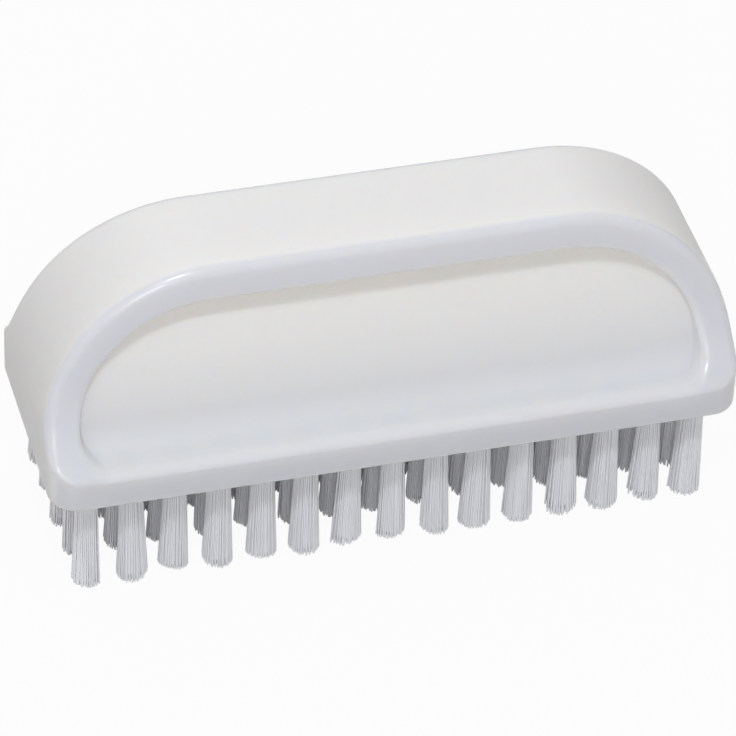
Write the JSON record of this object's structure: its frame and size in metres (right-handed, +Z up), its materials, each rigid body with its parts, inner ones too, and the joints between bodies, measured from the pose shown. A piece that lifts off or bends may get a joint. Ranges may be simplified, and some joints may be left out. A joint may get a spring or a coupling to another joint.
{
  "type": "nail brush",
  "caption": "Straight nail brush with a round-shouldered moulded handle block, a finger recess along each long side and rows of short bristle tufts underneath",
  "frame": {"origin": "centre of the brush's footprint, on the plane that the bristle tips stand on", "axes": "+X along the brush, +Y from the front recess to the back one, +Z up from the tips to the handle"},
  "size_m": [0.1, 0.0364, 0.049],
  "materials": {
    "handle_plastic": "smooth moulded polypropylene, satin on the outer band and glossier on the rims",
    "bristle_nylon": "bundled white nylon filament, cut flat",
    "anchor_wire": "flat drawn wire, cut to length"
  },
  "bodies": {
    "root": {"body": "handle_plastic", "tufts_01": "bristle_nylon", "tufts_02": "bristle_nylon", "tufts_03": "bristle_nylon", "tufts_04": "bristle_nylon", "tufts_05": "bristle_nylon", "tufts_06": "bristle_nylon", "tufts_07": "bristle_nylon", "tufts_08": "bristle_nylon", "tufts_09": "bristle_nylon", "tufts_10": "bristle_nylon", "tufts_11": "bristle_nylon", "tufts_12": "bristle_nylon", "tufts_13": "bristle_nylon", "tufts_14": "bristle_nylon", "tufts_15": "bristle_nylon", "anchors_01": "anchor_wire", "anchors_02": "anchor_wire", "anchors_03": "anchor_wire", "anchors_04": "anchor_wire", "anchors_05": "anchor_wire", "anchors_06": "anchor_wire", "anchors_07": "anchor_wire", "anchors_08": "anchor_wire", "anchors_09": "anchor_wire", "anchors_10": "anchor_wire", "anchors_11": "anchor_wire", "anchors_12": "anchor_wire", "anchors_13": "anchor_wire", "anchors_14": "anchor_wire", "anchors_15": "anchor_wire"}
  },
  "joints": []
}
